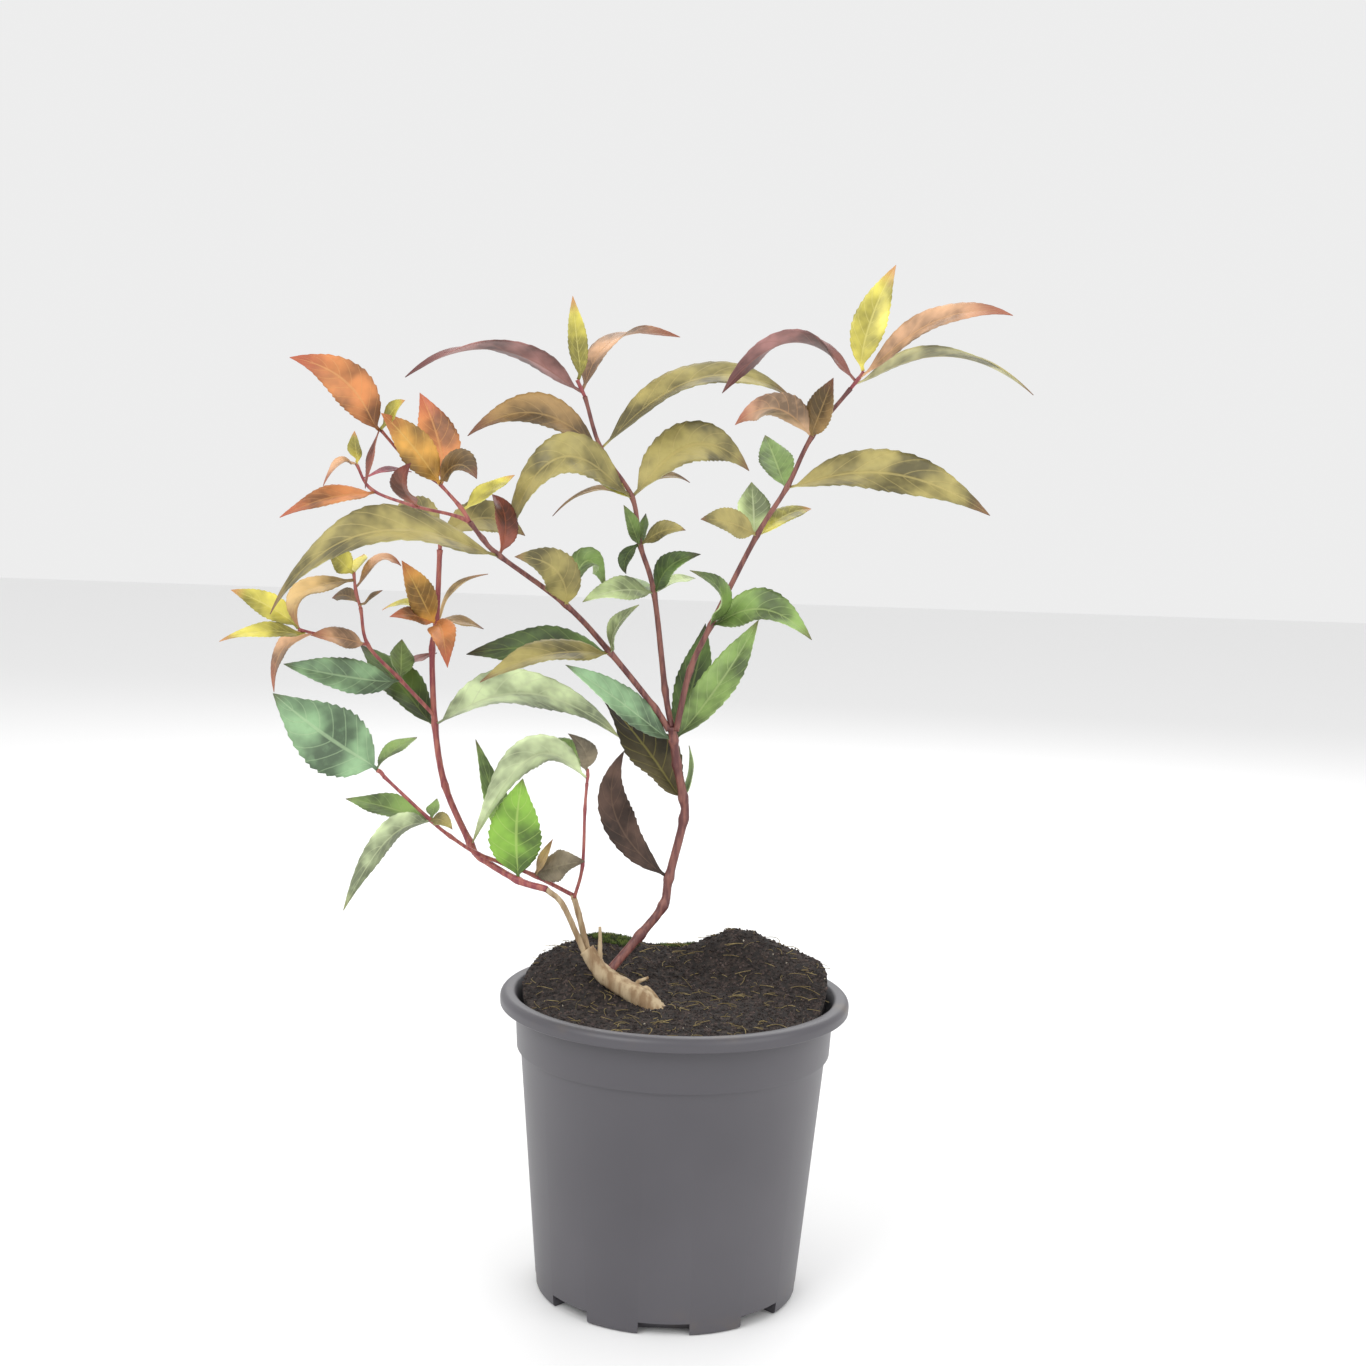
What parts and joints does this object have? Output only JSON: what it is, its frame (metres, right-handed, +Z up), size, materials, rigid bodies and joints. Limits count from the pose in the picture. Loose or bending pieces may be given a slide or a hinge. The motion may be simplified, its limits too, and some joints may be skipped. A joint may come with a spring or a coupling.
{
  "type": "potted bush honeysuckle",
  "caption": "Young bush honeysuckle shrub with red stems and bronze and green leaves in a round nursery pot of peat.",
  "frame": {"origin": "middle of the pot's flat underside", "axes": "+Z up along the pot's axis, +X to the right of the plant's best side, +Y away from whoever looks at that side"},
  "size_m": [0.3779, 0.1749, 0.4982],
  "materials": {
    "pot_plastic": "matte dark grey, moulded",
    "peat": "crumbly dark peat",
    "old_bark": "dry tan bark",
    "young_bark": "smooth dark red bark",
    "green_leaves": "satin green leaf",
    "olive_leaves": "satin olive-bronze leaf",
    "copper_leaves": "satin copper leaf",
    "lime_leaves": "satin lime young leaf",
    "dead_leaves": "dry dead leaf"
  },
  "bodies": {
    "root": {"pot": "pot_plastic", "soil": "peat", "woody_crown": "old_bark", "old_stem_front": "old_bark", "old_stem_back": "old_bark", "right_stem": "young_bark", "left_bough": "young_bark", "middle_bough": "young_bark", "right_bough": "young_bark", "left_stem": "young_bark", "low_branch": "young_bark", "upright_twig": "young_bark", "side_bough": "young_bark", "fork_leaves": "green_leaves", "left_bough_low_leaves": "green_leaves", "middle_bough_low_leaves": "green_leaves", "middle_bough_small_leaves": "green_leaves", "right_bough_low_leaves": "green_leaves", "right_bough_middle_leaves": "green_leaves", "left_stem_foot_leaves": "green_leaves", "left_stem_pale_leaves": "green_leaves", "side_bough_low_leaves": "green_leaves", "low_branch_leaves": "green_leaves", "low_branch_tip_leaf": "green_leaves", "upright_twig_leaves": "green_leaves", "left_bough_middle_leaves": "olive_leaves", "left_bough_high_leaves": "olive_leaves", "middle_bough_high_leaves": "olive_leaves", "middle_bough_top_leaves": "olive_leaves", "right_bough_high_leaves": "olive_leaves", "right_bough_top_leaves": "olive_leaves", "left_stem_top_leaves": "olive_leaves", "copper_spray": "copper_leaves", "outer_copper_spray": "copper_leaves", "middle_top_spray": "copper_leaves", "right_top_spray": "copper_leaves", "left_stem_copper_spray": "copper_leaves", "far_left_spray": "lime_leaves", "side_bough_top_spray": "lime_leaves", "hanging_dead_leaf": "dead_leaves", "withered_leaves": "dead_leaves", "dead_leaf_on_old_stem": "dead_leaves"}
  },
  "joints": []
}
